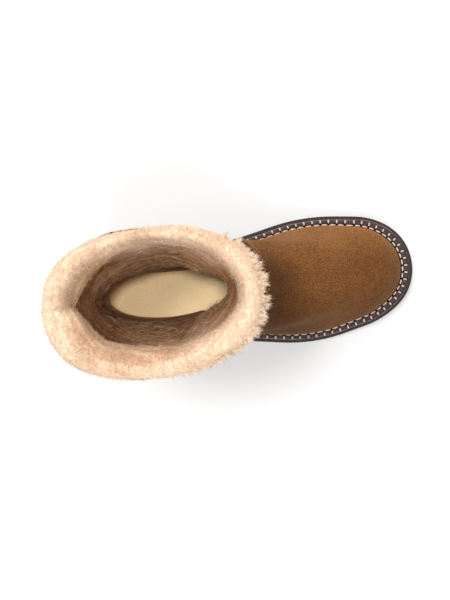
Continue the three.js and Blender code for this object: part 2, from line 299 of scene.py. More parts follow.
def suede_finish():
    """Brown nap, with painted light over the inner side of the foot, painted shade on its outer side and in
    the bend in front of the shaft, and painted shade along the seams.
    """
    suede = Finish("brown suede", {"Specular IOR Level": 0.12, "Sheen Weight": 0.1, "Sheen Roughness": 0.45,
                                   "Sheen Tint": rgb(214, 160, 110)})
    nap = suede.noise(0.8, detail=3.0, roughness=0.75)
    fine = suede.noise(0.4, detail=1.0)
    brushed = suede.noise(6.0, detail=2.0, roughness=0.5)
    patches = suede.noise(38.0, detail=2.0)
    shade = (nap * 0.9 + brushed * 0.1 + patches * 0.13).between(0.45, 0.69)
    # a shaded and a lit colour of the same suede, mixed by the painted light and shade below
    dark = suede.mix(shade, rgb(36, 18, 3), rgb(76, 44, 17))
    light = suede.mix(shade, rgb(86, 50, 18), rgb(148, 99, 54))
    colour = suede.mix(suede.own("painted_light"), dark, light)
    # painted shade along each seam
    colour = suede.mix(suede.own("seam").between(0.2, 1.0) * 0.5, colour, rgb(44, 24, 8))
    relief = nap * 0.8 + brushed * 0.3 + fine * 0.4
    rough = 0.86 + brushed * 0.1
    return suede.feed(base_color=colour, roughness=rough, normal=suede.bump(relief, 0.3, 0.7))


def cut_edge_finish():
    """The raw fibres where the suede is cut."""
    edge = Finish("cut suede edge", {"Specular IOR Level": 0.12})
    fibres = edge.noise(0.8, detail=2.0)
    colour = edge.mix(fibres.between(0.3, 0.7), rgb(44, 26, 10), rgb(84, 54, 26))
    return edge.feed(base_color=colour, roughness=0.85 + fibres * 0.1, normal=edge.bump(fibres, 0.2, 0.6))


def wool_finish():
    """Strands of wool, from the cream of the roll to the brown down inside the boot."""
    wool = Finish("wool strands", {"Roughness": 0.9, "Specular IOR Level": 0.05, "Sheen Weight": 0.12,
                                   "Sheen Roughness": 0.5, "Sheen Tint": WOOL_PALE})
    tone = wool.own("tone") + wool.own("reach").between(0.2, 1.0) * 0.08
    return wool.feed(base_color=wool_colour(wool, tone))


def wool_colour(finish, tone):
    """From the brown down inside the boot, over tan where it turns, to cream, and past cream to a painted
    highlight.
    """
    lower = finish.mix(tone * 2, WOOL_DEEP, WOOL_TAN)
    upper = finish.mix(tone * 2 - 1, lower, WOOL_PALE)
    return finish.mix(tone * 2 - 2, upper, WOOL_PAINTED_LIGHT)


def fleece_finish():
    """The matted wool under the strands."""
    fleece = Finish("matted fleece", {"Roughness": 0.95, "Specular IOR Level": 0.05, "Sheen Weight": 0.06,
                                      "Sheen Roughness": 0.5, "Sheen Tint": WOOL_TAN})
    curls = fleece.noise(1.6, detail=3.0, roughness=0.6)
    round_shaft = {"X": fleece.own("east"), "Y": fleece.own("north"), "Z": fleece.own("rise")}
    drawn = fleece.node("ShaderNodeCombineXYZ", {}, round_shaft)
    values = {"Vector": drawn, "Scale": 1.0, "Detail": 4.0, "Roughness": 0.6}
    streak = fleece.node("ShaderNodeTexNoise", {}, values)
    tone = fleece.own("tone")
    tone = tone + (streak - 0.5) * (1.6 - tone) + (curls - 0.5) * 0.3
    relief = curls + streak * 1.5
    return fleece.feed(base_color=wool_colour(fleece, tone), normal=fleece.bump(relief, 0.8, 0.7))


def pile_finish():
    """Short cream pile, pressed flat and a little worn."""
    pile = Finish("pressed wool footbed", {"Roughness": 0.95, "Specular IOR Level": 0.1, "Sheen Weight": 0.2,
                                           "Sheen Roughness": 0.5})
    fuzz = pile.noise(1.1, detail=3.0, roughness=0.6)
    worn = pile.noise(18.0, detail=1.0)
    colour = pile.mix(fuzz.between(0.25, 0.75), rgb(246, 212, 158), rgb(255, 232, 184))
    colour = pile.mix(worn.between(0.4, 0.8) * 0.3, colour, rgb(236, 198, 142))
    return pile.feed(base_color=colour, normal=pile.bump(fuzz, 0.5, 0.6))


def sole_finish():
    """Dark moulded rubber, scuffed."""
    sole = Finish("dark brown sole", {"Specular IOR Level": 0.2})
    scuffs = sole.noise(5.0, detail=4.0, roughness=0.65)
    pores = sole.noise(0.7, detail=2.0)
    colour = sole.mix(scuffs.between(0.35, 0.75), rgb(38, 25, 26), rgb(54, 39, 39))
    rough = 0.5 + scuffs * 0.3
    return sole.feed(base_color=colour, roughness=rough, normal=sole.bump(pores + scuffs * 0.6, 0.12, 0.5))


def welt_finish():
    """The dark strip, paler along its ribs where it is rubbed."""
    welt = Finish("dark welt strip", {"Specular IOR Level": 0.2})
    grain = welt.noise(2.5, detail=3.0, roughness=0.6)
    colour = welt.mix(grain.between(0.3, 0.75), rgb(30, 23, 22), rgb(50, 41, 38))
    colour = welt.mix(welt.own("rib") * 0.24, colour, rgb(116, 104, 96))
    rough = 0.45 + grain * 0.25
    return welt.feed(base_color=colour, roughness=rough, normal=welt.bump(grain, 0.15, 0.5))


def thread_finish(name, dark, light):
    """Twisted thread, with painted shade between its strands."""
    thread = Finish(name, {"Specular IOR Level": 0.3, "Sheen Weight": 0.2})
    strand_shade = thread.own("strand_shade")
    colour = thread.mix(strand_shade, dark, light)
    fray = thread.noise(0.6, detail=2.0)
    rough = 0.6 + fray * 0.2
    return thread.feed(base_color=colour, roughness=rough, normal=thread.bump(strand_shade + fray * 0.3, 0.2, 0.7))


# a near-black disc that stands for the shade inside a stitch hole
def hole_shade_finish():
    hole = Finish("painted shade in stitch hole", {"Specular IOR Level": 0.05, "Base Color": rgb(14, 10, 10),
                                       "Roughness": 0.9})
    return hole.material


def bead_finish():
    """The welt's outer edge, rubbed pale."""
    bead = Finish("pale edge of the welt", {"Specular IOR Level": 0.2})
    wear = bead.noise(4.0, detail=2.0)
    colour = bead.mix(wear.between(0.3, 0.7), rgb(84, 68, 64), rgb(128, 108, 102))
    return bead.feed(base_color=colour, roughness=0.6 + wear * 0.2)


# ---- working on meshes ----


def activate(piece):
    """Selects this piece alone."""
    bpy.ops.object.select_all(action="DESELECT")
    piece.select_set(True)
    bpy.context.view_layer.objects.active = piece


def edit(piece, kind, action="DESELECT"):
    """Opens a piece for editing, with all its vertices, edges or faces selected or none."""
    activate(piece)
    bpy.ops.object.mode_set(mode="EDIT")
    bpy.ops.mesh.select_mode(type=kind)
    bpy.ops.mesh.select_all(action=action)


def done():
    bpy.ops.object.mode_set(mode="OBJECT")


def copy_of(node, name):
    """A piece that starts as a CAD node's shape, with its doubles merged and its triangles paired."""
    piece = bpy.data.objects.new(name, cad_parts[node].data.copy())
    piece.data.materials.clear()
    bpy.context.collection.objects.link(piece)
    edit(piece, "VERT", "SELECT")
    bpy.ops.mesh.remove_doubles(threshold=WELD)
    bpy.ops.mesh.tris_convert_to_quads(face_threshold=math.radians(60), shape_threshold=math.radians(80))
    done()
    if piece.data.has_custom_normals:
        bpy.ops.mesh.customdata_custom_splitnormals_clear()
    return piece


def refine(piece, levels):
    """Rounds a piece off by subdivision."""
    activate(piece)
    smooth = piece.modifiers.new("refine", "SUBSURF")
    smooth.levels = levels
    smooth.render_levels = levels
    bpy.ops.object.modifier_apply(modifier=smooth.name)
    bpy.ops.object.shade_smooth()


def vertices_of(piece):
    """Where a piece's vertices are, and which way each one faces."""
    found = []
    for what in ("co", "normal"):
        numbers = np.empty(len(piece.data.vertices) * 3)
        piece.data.vertices.foreach_get(what, numbers)
        found.append(numbers.reshape(-1, 3))
    return found


def move_to(piece, places):
    piece.data.vertices.foreach_set("co", places.ravel())
    piece.data.update()


def mesh_piece(name, places, faces):
    mesh = bpy.data.meshes.new(name)
    mesh.from_pydata(places.tolist(), [], faces.tolist())
    piece = bpy.data.objects.new(name, mesh)
    bpy.context.collection.objects.link(piece)
    activate(piece)
    bpy.ops.object.shade_smooth()
    return piece


def set_number(piece, name, numbers):
    """Gives each vertex a number that a material can read."""
    layer = piece.data.attributes.new(name, "FLOAT", "POINT")
    layer.data.foreach_set("value", np.asarray(numbers, dtype=np.float32))


def finish_piece(piece, material, slot, *nodes):
    """Gives a piece its material and its body, and hides the CAD nodes that it stands for. The slot is not
    used.
    """
    piece.data.materials.clear()
    piece.data.materials.append(material)
    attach(piece, "root")
    if nodes:
        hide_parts(*nodes)


def surface_of(piece):
    shape = bmesh.new()
    shape.from_mesh(piece.data)
    tree = BVHTree.FromBMesh(shape)
    shape.free()
    return tree


# ---- outlines ----


def slice_loops(node, height):
    """The closed outlines of a CAD node at a height in millimetres, as plan points without the straight
    runs."""
    shape = bmesh.new()
    shape.from_mesh(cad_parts[node].data)
    bmesh.ops.remove_doubles(shape, verts=shape.verts, dist=WELD)
    whole = shape.verts[:] + shape.edges[:] + shape.faces[:]
    cut = {"plane_co": (0, 0, height * MM), "plane_no": (0, 0, 1), "clear_inner": True, "clear_outer": True}
    bmesh.ops.bisect_plane(shape, geom=whole, **cut)
    left = set(shape.verts)
    loops = []
    while left:
        start = left.pop()
        loop = [start]
        while True:
            ahead = [e.other_vert(loop[-1]) for e in loop[-1].link_edges]
            ahead = [v for v in ahead if v in left]
            if not ahead:
                break
            left.discard(ahead[0])
            loop.append(ahead[0])
        loops.append(np.array([[v.co.x, v.co.y] for v in loop]))
    shape.free()
    return [without_straights(loop) for loop in loops if len(loop) > 8]


def without_straights(loop):
    """A loop's points where it turns."""
    before = unit(loop - np.roll(loop, 1, axis=0))
    after = unit(np.roll(loop, -1, axis=0) - loop)
    turn = np.abs(before[:, 0] * after[:, 1] - before[:, 1] * after[:, 0])
    return loop[turn > 0.003]


class Outline:
    """A smooth closed plan curve, measured along its length from the toe towards the inner side."""

    def __init__(self, loop, fineness=12):
        area = np.sum(loop[:, 0] * np.roll(loop[:, 1], -1) - np.roll(loop[:, 0], -1) * loop[:, 1])
        if area < 0:
            loop = loop[::-1]
        loop = np.roll(loop, -int(np.argmax(loop[:, 0])), axis=0)
        corners = [np.roll(loop, shift, axis=0) for shift in (1, 0, -1, -2)]
        share = np.linspace(0, 1, fineness, endpoint=False)[None, :, None]
        a, b, c, d = [corner[:, None, :] for corner in corners]
        curve = 0.5 * (
            2 * b + (c - a) * share + (2 * a - 5 * b + 4 * c - d) * share**2
            + (3 * b - a - 3 * c + d) * share**3
        )
        self.points = curve.reshape(-1, 2)
        steps = np.linalg.norm(np.roll(self.points, -1, axis=0) - self.points, axis=1)
        self.marks = np.concatenate([[0.0], np.cumsum(steps)])
        self.length = self.marks[-1]

    def at(self, distances, inset=0.0):
        """Points at these distances along, moved in by inset, and the directions inwards and onwards."""
        distances = np.asarray(distances, dtype=float)
        nudge = 0.5 * MM
        middle, before, after = [self._on(distances + step) for step in (0.0, -nudge, nudge)]
        along = unit(after - before)
        inwards = np.stack([-along[:, 1], along[:, 0]], axis=1)
        return middle + inwards * np.reshape(inset, (-1, 1)), inwards, along

    def _on(self, distances):
        wrapped = np.mod(distances, self.length)
        closed = np.vstack([self.points, self.points[:1]])
        return np.stack([np.interp(wrapped, self.marks, closed[:, axis]) for axis in (0, 1)], axis=1)

    def locate(self, places):
        """How far along each plan place is, and how far in from the curve."""
        count = 2400
        distances = np.arange(count) * self.length / count
        points, inwards, _ = self.at(distances)
        tree = KDTree(count)
        for index, point in enumerate(points):
            tree.insert((*point, 0.0), index)
        tree.balance()
        found = np.array([tree.find((place[0], place[1], 0.0))[1] for place in places])
        gap = places[:, :2] - points[found]
        return distances[found], np.sum(gap * inwards[found], axis=1)


def by_length(loops):
    """Loops in the order of their length along the boot, the longest last."""
    return sorted(loops, key=lambda loop: np.ptp(loop[:, 0]))


# ---- sums on places and directions ----


def unit(vectors):
    return vectors / np.maximum(np.linalg.norm(vectors, axis=-1), 1e-12)[..., None]


def flat_part(vectors, normals):
    """The part of each vector that lies in the surface."""
    return unit(vectors - normals * np.sum(vectors * normals, axis=1)[:, None])


def smoothstep(values, low, high):
    """0 below low, 1 above high, and smooth between."""
    share = np.clip((values - low) / (high - low), 0, 1)
    return share * share * (3 - 2 * share)


def bell(offset, width):
    """1 along a line, falling softly to nothing well past this width from it."""
    return np.exp(-((offset / width) ** 2))


def waves(places, size, seed):
    """Smooth noise from -1 to 1 at each place, with features of this size in millimetres."""
    shift = Vector((seed * 17.3, seed * 5.1, seed * 9.7))
    scale = 1.0 / (size * MM)
    return np.array([noise.noise(Vector(place) * scale + shift) for place in places])


def swirl(places, size, seed):
    """Directions that turn smoothly from place to place, as the wool lies."""
    return np.stack([waves(places, size, seed + k) for k in range(3)], axis=1)


def shaft_angle(places):
    """The angle round the shaft, in radians from the toe side towards the inner side of the foot."""
    return np.arctan2(places[:, 1] - SHAFT_MIDDLE.y, places[:, 0] - SHAFT_MIDDLE.x)


def shaft_radius(places):
    return np.hypot(places[:, 0] - SHAFT_MIDDLE.x, places[:, 1] - SHAFT_MIDDLE.y)


def from_shaft(places):
    """The level direction from the middle of the shaft to each place."""
    return unit((places - np.array(SHAFT_MIDDLE)) * np.array([1.0, 1.0, 0.0]))


def by_angle(places, table, soft=0):
    """A size that changes round the shaft, from one of the tables, averaged over this many degrees each
    way."""
    angle = np.degrees(shaft_angle(places)) % 360
    angles, sizes = zip(*table)
    around = [np.interp(angle + turn, angles, sizes, period=360) for turn in np.linspace(-soft, soft, 9)]
    return np.mean(around, axis=0)


def drawn_out(angle, places, long, wide):
    """Coordinates for noise that is drawn out round the shaft, as the wool is matted."""
    rise = (places[:, 2] + 0.8 * shaft_radius(places)) / (wide * MM)
    return np.column_stack([np.cos(angle) * SHAFT_REACH / long, np.sin(angle) * SHAFT_REACH / long, rise])


def streaks(places, long, wide, seed):
    shift = Vector((seed * 7.7, seed * 3.1, seed * 11.3))
    turned = drawn_out(shaft_angle(places), places, long, wide)
    return np.array([noise.noise(Vector(place) + shift) for place in turned])


# ---- the sole and the welt ----


def make_outsole():
    sole = copy_of("outsole", "outsole_moulded")
    edit(sole, "EDGE")
    bpy.ops.mesh.edges_select_sharp(sharpness=math.radians(62))
    bpy.ops.transform.edge_crease(value=1.0)
    done()
    refine(sole, 2)
    bpy.ops.object.shade_smooth_by_angle(angle=math.radians(40))
    finish_piece(sole, sole_finish(), "sole_rubber", "outsole")


def make_welt():
    """The welt, pinched by each cross stitch, with the low strip beside the upper and ribs along it."""
    welt = copy_of("welt", "welt_strip")
    refine(welt, 3)
    places, normals = vertices_of(welt)
    along, inset = sole_outline.locate(places)
    inset /= MM
    phase = np.mod(along / pitch, 1.0)
    pinch = bell(np.minimum(phase, 1 - phase) * pitch / MM, PINCH_WIDTH)
    level = np.clip(normals[:, 2], 0, 1) ** 2
    feather = feather_inset(along) / MM
    channel = 1 - smoothstep(feather - inset, CHANNEL - 0.8, CHANNEL + 0.2)
    band = 1 - channel
    across = np.clip((inset - LEDGE) / np.maximum(feather - CHANNEL - LEDGE, 1.0), 0, 1)
    dome = np.sin(np.pi * across) ** 0.7 * WELT_DOME
    ribs = 0.5 + 0.5 * np.cos(across * WELT_RIBS * 2 * np.pi)
    rise = band * (dome - pinch * WELT_PINCH) - channel * (CHANNEL_DEPTH + pinch * 0.6)
    places[:, 2] += (rise + band * ribs * RIB_HEIGHT) * level * MM
    move_to(welt, places)
    edge = bell(inset - LEDGE - 0.5, 0.35) * (normals[:, 2] > 0.2)
    set_number(welt, "rib", np.clip(edge * 0.9 * (1 - pinch) + ribs * band * 0.25 * level, 0, 1))
    finish_piece(welt, welt_finish(), "welt_rubber", "welt")
    return welt


def make_insole():
    """The footbed, which runs under the wool at its edge."""
    bed = copy_of("insole", "insole_pile")
    refine(bed, 3)
    places, normals = vertices_of(bed)
    x, y, _ = (places / MM).T
    heel = 1 - smoothstep(x, -50, 0)
    places[:, 1] += np.sign(y) * BED_WIDER * smoothstep(np.abs(y), 4, 18) * heel * MM
    places[:, 0] -= BED_LONGER * smoothstep(-x, 90, 114) * MM
    places += normals * (waves(places, 9, 8) * 0.25 * MM)[:, None]
    move_to(bed, places)
    finish_piece(bed, pile_finish(), "insole_wool", "insole")


# ---- thread ----


def repeated(faces, count, step):
    """The faces of one small shape, again for each copy of its vertices."""
    return (faces[None] + (np.arange(count) * step)[:, None, None]).reshape(-1, faces.shape[1])


def thread_mesh(name, paths, width, twists, flatten=1.0):
    """Short lengths of two-strand thread, each along its own path, joined in one piece."""
    count, stations = paths.shape[:2]
    along = unit(np.gradient(paths, axis=1))
    side = unit(np.cross(along, np.array([0.0, 0.0, 1.0])))
    up = np.cross(side, along)
    share = np.linspace(0, 1, stations)
    taper = np.clip(np.sin(np.pi * np.clip(share, 0.02, 0.98)) * 2.2, 0, 1) ** 0.5
    angle = np.arange(THREAD_SIDES) / THREAD_SIDES * 2 * math.pi
    strands = np.cos(2 * (angle[None, :] - share[:, None] * twists * 2 * math.pi))
    radius = width / 2 * taper[:, None] * (1 + 0.14 * strands)
    ring = (
        side[:, :, None, :] * (np.cos(angle) * radius)[None, ..., None]
        + up[:, :, None, :] * (np.sin(angle) * radius * flatten)[None, ..., None]
    )
    places = (paths[:, :, None, :] + ring).reshape(-1, 3)
    piece = mesh_piece(name, places, tube_faces(count, stations))
    # painted shade in the grooves between the strands, for the thread's material
    set_number(piece, "strand_shade", np.tile((0.5 + 0.5 * strands).reshape(-1), count))
    return piece


def tube_faces(count, stations):
    """Quads along closed tubes, with both ends capped by quads of their own ring."""
    sides = THREAD_SIDES
    ring = np.arange(sides)
    wall = []
    for station in range(stations - 1):
        low = station * sides + ring
        high = low + sides
        wall.append(np.stack([low, np.roll(low, -1), np.roll(high, -1), high], axis=1))
    for first, order in ((0, (3, 2, 1, 0)), ((stations - 1) * sides, (0, 1, 2, 3))):
        near = first + np.arange(sides // 2 - 1)
        far = first + sides - 2 - np.arange(sides // 2 - 1)
        wall.append(np.stack([near, near + 1, far, far + 1], axis=1)[:, list(order)])
    return repeated(np.vstack(wall), count, stations * sides)


def ring_tube(name, path, radius, sides=6):
    """A closed tube along a closed level path."""
    along = unit(np.roll(path, -1, axis=0) - np.roll(path, 1, axis=0))
    up = np.array([0.0, 0.0, 1.0])
    side = unit(np.cross(along, up))
    angle = np.arange(sides) / sides * 2 * math.pi
    places = path[:, None, :] + radius * (
        side[:, None, :] * np.cos(angle)[None, :, None] + up * np.sin(angle)[None, :, None]
    )
    here = np.arange(len(path))[:, None] * sides + np.arange(sides)[None, :]
    ahead = np.roll(here, -1, axis=0)
    faces = np.stack([here, np.roll(here, -1, axis=1), np.roll(ahead, -1, axis=1), ahead], axis=-1)
    return mesh_piece(name, places.reshape(-1, 3), faces.reshape(-1, 4)[:, ::-1])


# ---- the upper ----


def facing_out(centres, normals):
    """Whether faces of the upper look away from the hollow where the foot and leg go."""
    best = np.full(len(centres), np.inf)
    out = np.zeros(len(centres), dtype=bool)
    for start, end in HOLLOW_LEGS:
        p, q = HOLLOW[start], HOLLOW[end]
        share = np.clip(((centres - p) @ (q - p)) / ((q - p) @ (q - p)), 0, 1)
        gap = centres - (p + share[:, None] * (q - p))
        distance = np.linalg.norm(gap, axis=1)
        nearer = distance < best
        out[nearer] = np.sum(gap * normals, axis=1)[nearer] > 0
        best = np.minimum(best, distance)
    return out


def suede_faces(piece):
    """Which faces of the upper are the suede's outer side."""
    centres = np.array([p.center[:] for p in piece.data.polygons])
    normals = np.array([p.normal[:] for p in piece.data.polygons])
    under_edge = centres[:, 2] < SUEDE_TOP * MM
    level = (normals[:, 2] < -0.45) & (centres[:, 2] > (SUEDE_TOP - 6) * MM)
    seat = normals[:, 2] < -0.9
    return facing_out(centres, normals) & under_edge & ~level & ~seat


def suede_light_and_shade(places):
    """Painted light and shade on the suede: painted light over the inner side of the foot, which faces the
    light, painted shade towards its outer side, and painted shade in the bend in front of the shaft, under
    the collar."""
    x, y, z = (places / MM).T
    foot = smoothstep(x, -60, 25)
    side = 0.39 + 0.5 * smoothstep(y, 5, 44) - 0.16 * smoothstep(-y, 5, 40)
    bend = (1 - smoothstep(x, -4, 56)) * smoothstep(z, 30, 60) * (0.48 - 0.18 * smoothstep(y, 5, 40))
    return np.clip(0.5 * (1 - foot) + (side - bend) * foot, 0, 1)


def vamp_seam_offset(places):
    """How far each place is in front of the seam between the vamp and the shaft, which leans back from the
    bend in front of the ankle down to the welt, in millimetres."""
    lean = math.radians(VAMP_LEAN)
    ahead, up = places[:, 0] / MM - VAMP_SEAM[0], places[:, 2] / MM - VAMP_SEAM[1]
    return ahead * math.cos(lean) - up * math.sin(lean)


def back_seam_offset(places):
    """How far each place is from the back seam, towards the inner side, in millimetres."""
    return (places[:, 1] - SHAFT_MIDDLE.y) / MM - BACK_SEAM


def soft_creases(places):
    """The folds that walking puts across the front of the ankle and above the heel, in millimetres."""
    x, y, z = (places / MM).T
    total = np.zeros(len(places))
    for front, height, drop, depth, width in ANKLE_CREASES:
        off = z - height + np.abs(y) * drop
        side = smoothstep(x, 0, 14) if front else smoothstep(-x, 95, 122)
        valley = bell(off, width) - 0.5 * bell(off - width * 2, width * 1.3)
        total -= depth * valley * side * (1 - smoothstep(np.abs(y), 14, 40))
    return total


def suede_relief(places, off_vamp, behind):
    """How far the suede stands out or in: soft waves, creases, and the swell along each seam."""
    above = smoothstep(places[:, 2] / MM, 34, 60)
    rise = (waves(places, 26, 1) * 0.35 + waves(places, 60, 2) * 0.8 + soft_creases(places)) * above
    rise += VAMP_LAP * smoothstep(off_vamp, -0.8, 0.8) * (1 - smoothstep(off_vamp, 5, 16))
    beside = np.abs(back_seam_offset(places))
    return rise + (SEAM_PUFF * bell(beside - 2.4, 1.8) - 0.5 * bell(beside, 1.1)) * behind * above


def top_flare(places):
    """How far the suede moves out at the top. Its cut edge flares and wavers a little, but not at the front,
    where the wool hides it."""
    high = places[:, 2] / MM
    edge = smoothstep(high, SUEDE_TOP - 14, SUEDE_TOP)
    flare = (0.9 + 0.8 * waves(places, 14, 9)) * by_angle(places, FLARE)
    drawn_in = by_angle(places, EASE) * smoothstep(high, 190, 224)
    return edge * flare - drawn_in


def make_suede():
    """The skin: the upper's outer faces, refined, shaped and then given its thickness."""
    skin = copy_of("upper", "suede_upper")
    edit(skin, "FACE")
    done()
    skin.data.polygons.foreach_set("select", ~suede_faces(skin))
    bpy.ops.object.mode_set(mode="EDIT")
    bpy.ops.mesh.delete(type="FACE")
    done()
    refine(skin, 2)
    places, normals = vertices_of(skin)
    off_vamp = vamp_seam_offset(places)
    behind = smoothstep(-places[:, 0] / MM, 80, 100)
    places += normals * (suede_relief(places, off_vamp, behind) * MM)[:, None]
    places += from_shaft(places) * (top_flare(places) * MM)[:, None]
    move_to(skin, places)
    # painted light and shade over the foot, for the suede's material
    set_number(skin, "painted_light", suede_light_and_shade(places))
    # painted shade to each side of the vamp seam and the back seam
    beside = np.abs(back_seam_offset(places))
    painted_seam_shade = np.maximum(1 - np.abs(off_vamp) / SEAM_SHADE, (1 - beside / SEAM_SHADE) * behind)
    set_number(skin, "seam", np.clip(painted_seam_shade, 0, 1))
    activate(skin)
    wall = skin.modifiers.new("skin", "SOLIDIFY")
    wall.thickness = SUEDE * MM
    wall.offset = -1.0
    bpy.ops.object.modifier_apply(modifier=wall.name)
    finish_piece(skin, suede_finish(), "suede", "upper")
    return skin


def trace(surface, rays, lowest):
    """Where rays meet the suede, and which way it faces there, above a height."""
    hits = [surface.ray_cast(start, towards)[:2] for start, towards in rays]
    hits = [(place[:], normal[:]) for place, normal in hits if place and place.z > lowest * MM]
    return np.array([place for place, _ in hits]), np.array([normal for _, normal in hits])


def stitch_row(name, line, facing, material):
    """Short stitches along a line on the suede, sunk at both ends."""
    steps = np.linalg.norm(np.diff(line, axis=0), axis=1)
    marks = np.concatenate([[0.0], np.cumsum(steps)])
    step = (SEAM_STITCH + SEAM_GAP) * MM
    share = np.linspace(0, 1, 6)
    where = np.arange(int(marks[-1] / step))[:, None] * step + share[None, :] * SEAM_STITCH * MM
    paths, outwards = [
        np.stack([np.interp(where, marks, values[:, axis]) for axis in range(3)], axis=-1)
        for values in (line, facing)
    ]
    lift = np.interp(share, [0, 0.2, 0.5, 0.8, 1], [-0.4, 0.25, 0.4, 0.25, -0.4]) * MM
    piece = thread_mesh(name, paths + unit(outwards) * lift[None, :, None], SEAM_THREAD * MM, 1.5)
    finish_piece(piece, material, "suede")


def seam_edge(name, line, facing, width, material):
    """The thin cut edge that shows along a seam."""
    edge = thread_mesh(name, (line + facing * 0.1 * MM)[None], width * MM, 0.0, 0.8)
    finish_piece(edge, material, "suede")


def make_seams(skin):
    """Rows of plain stitching: up the back of the shaft, and round the back edge of the vamp."""
    brown = thread_finish("brown thread", rgb(92, 56, 28), rgb(158, 110, 66))
    surface = surface_of(skin)
    cut = cut_edge_finish()
    for name, side in BACK_ROWS.items():
        behind, across = BEHIND_BOOT * MM, SHAFT_MIDDLE.y + (BACK_SEAM + side) * MM
        heights = np.arange(SEAM_LOW, SEAM_HIGH, SEAM_STEP) * MM
        rays = [(Vector((behind, across, high)), Vector((1, 0, 0))) for high in heights]
        if name == "edge":
            seam_edge("back_seam_edge", *trace(surface, rays, SEAM_LOW - 1), 1.2, cut)
        else:
            stitch_row("back_seam_stitches_" + name, *trace(surface, rays, SEAM_LOW), brown)

    # the vamp seam is followed by rays from all round a point down inside the ankle
    lean = math.radians(VAMP_LEAN)
    up, ahead = Vector((math.sin(lean), 0, math.cos(lean))), Vector((math.cos(lean), 0, -math.sin(lean)))
    for name, side in VAMP_ROWS.items():
        centre = Vector((VAMP_SEAM[0], 0, VAMP_SEAM[1])) * MM - up * INSIDE_ANKLE * MM + ahead * side * MM
        rays = []
        for turn in np.radians(np.arange(-142, 142.1, 1.0)):
            outwards = Vector((0, 1, 0)) * math.sin(turn) + up * math.cos(turn)
            rays.append((centre + outwards * 0.2, -outwards))
        if name == "edge":
            seam_edge("vamp_seam_edge", *trace(surface, rays, SEAM_LOW - 2), 1.3, cut)
        else:
            stitch_row("vamp_stitches_" + name, *trace(surface, rays, SEAM_LOW), brown)


# ---- the wool ----


class Collar:
    """Measures places against the wall at the top of the shaft."""

    def __init__(self):
        self.rims = []
        for loop in by_length(slice_loops("upper", SUEDE_TOP - 6)):
            rim = Outline(loop)
            points, _, _ = rim.at(np.linspace(0, rim.length, 720, endpoint=False))
            angle = shaft_angle(points)
            order = np.argsort(angle)
            self.rims.append((angle[order], shaft_radius(points)[order]))

    def measure(self, places):
        """For each place: the angle round the shaft, and how far through the wall it is, from 0 outside
        to 1 inside."""
        angle = shaft_angle(places)
        inner, outer = [np.interp(angle, *rim, period=2 * math.pi) for rim in self.rims]
        return angle, np.clip((outer - shaft_radius(places)) / (outer - inner), 0, 1)


def wool_tone_and_shade(places, collar):
    """How pale the wool is: cream on the roll, brown down inside, with streaks as it is matted. The brown
    inside is partly the lining's own tone and partly painted shade, and the tables round the shaft paint
    light and shade as well.
    """
    high = places[:, 2] / MM
    angle, depth = collar.measure(places)
    low, palest = by_angle(places, PALE_FROM), by_angle(places, PALEST)
    # painted light low round the heel, where the deep hollow is in shade
    heel = smoothstep(-np.cos(angle), 0.0, 0.7) * (1 - smoothstep(high, 40, 130))
    risen = smoothstep((high + 8 * (1 - depth) - low) / (PALE_BY - low), 0, 1)
    pale = 0.2 + 0.5 * heel + (palest - 0.2) * risen
    # painted light on the outer side of the roll, which faces sideways, away from the light from above
    pale += 0.22 * (1 - smoothstep(depth, 0.02, 0.3)) * smoothstep(high, 214, 224)
    # painted shade, and on the inner side of the foot painted light, where the roll turns in
    pale -= by_angle(places, TURNED_IN_SHADE) * smoothstep(depth, 0.4, 0.85) * smoothstep(high, 200, 215)
    lively = 1 - 0.6 * smoothstep(high, 205, 218)
    broad, fine = streaks(places, STREAK_LONG, STREAK_WIDE, 12), streaks(places, 12, 2, 13)
    pale += (broad * 0.18 + fine * 0.12) * lively
    return np.clip(pale, 0.5 * smoothstep(high, 203, 214), PALEST_TONE)


def wall_behind(places, inwards, wanted, skin):
    """How thick the wall is behind each wanted place on the lining, in millimetres, and plenty elsewhere."""
    surface = surface_of(skin)
    thick = np.full(len(places), 60.0)
    for index in np.flatnonzero(wanted):
        outwards = Vector((-inwards[index, 0], -inwards[index, 1], 0.0))
        distance = surface.ray_cast(Vector(places[index]), outwards)[3]
        if distance is not None:
            thick[index] = distance / MM
    return thick


def held_off(inward_moves, places, inwards, inside, skin):
    """Moves of the lining, cut short where they would go through the wall behind it."""
    behind = wall_behind(places, inwards, inside & (inward_moves < 0), skin)
    return np.maximum(inward_moves, LEAST_WALL - behind)


def lean_in(places, angle, depth, inside):
    """How far the wool leans in over the opening, with the folds at the heel, in millimetres."""
    high = places[:, 2] / MM
    lean = by_angle(places, BULGE) * smoothstep(high, 130, 222) * depth
    lean += by_angle(places, EASE) * smoothstep(high, 190, 224) * (1 - depth)
    hollow = smoothstep(high, 120, 200) * (1 - smoothstep(high, 208, 221)) * inside
    lean -= by_angle(places, UNDER, 5) * hollow
    heel = smoothstep(-np.cos(angle), 0.2, 0.8) * inside
    for fold, deep in FOLDS:
        above = high - fold - 4 * np.sin(angle * 2 + fold)
        lean += deep * np.where(above > 0, np.exp(-above / 12), bell(above, 3)) * heel
    return lean


def to_waist(places, inside, skin):
    """How far each place on the lining moves to stand in line with the oval that the wool closes in to above
    the insole: all round below the ankle, and at the front under the instep, where the foot goes forward."""
    across = places[:, :2] / MM - WAIST_MIDDLE
    outwards = unit(across)
    reach = 1 / np.linalg.norm(outwards / WAIST_HALF, axis=1)
    gap = np.linalg.norm(across, axis=1) - reach
    x, _, high = (places / MM).T
    low = smoothstep(high, 18, 32) * (1 - smoothstep(high, 55, 190))
    most = 27 * (1 - smoothstep(x, -45, 0))
    front = smoothstep(outwards[:, 0], 0.4, 1.0)
    front *= smoothstep(high, 70, 110) * (1 - smoothstep(high, 170, 215))
    closed = np.hypot(np.minimum(gap, most) * low, np.clip(gap, 0, 10) * front)
    drawn = np.where(gap > 0, closed, gap * low) * inside
    drawn = held_off(drawn, places, -outwards, inside, skin)
    return outwards * drawn[:, None]


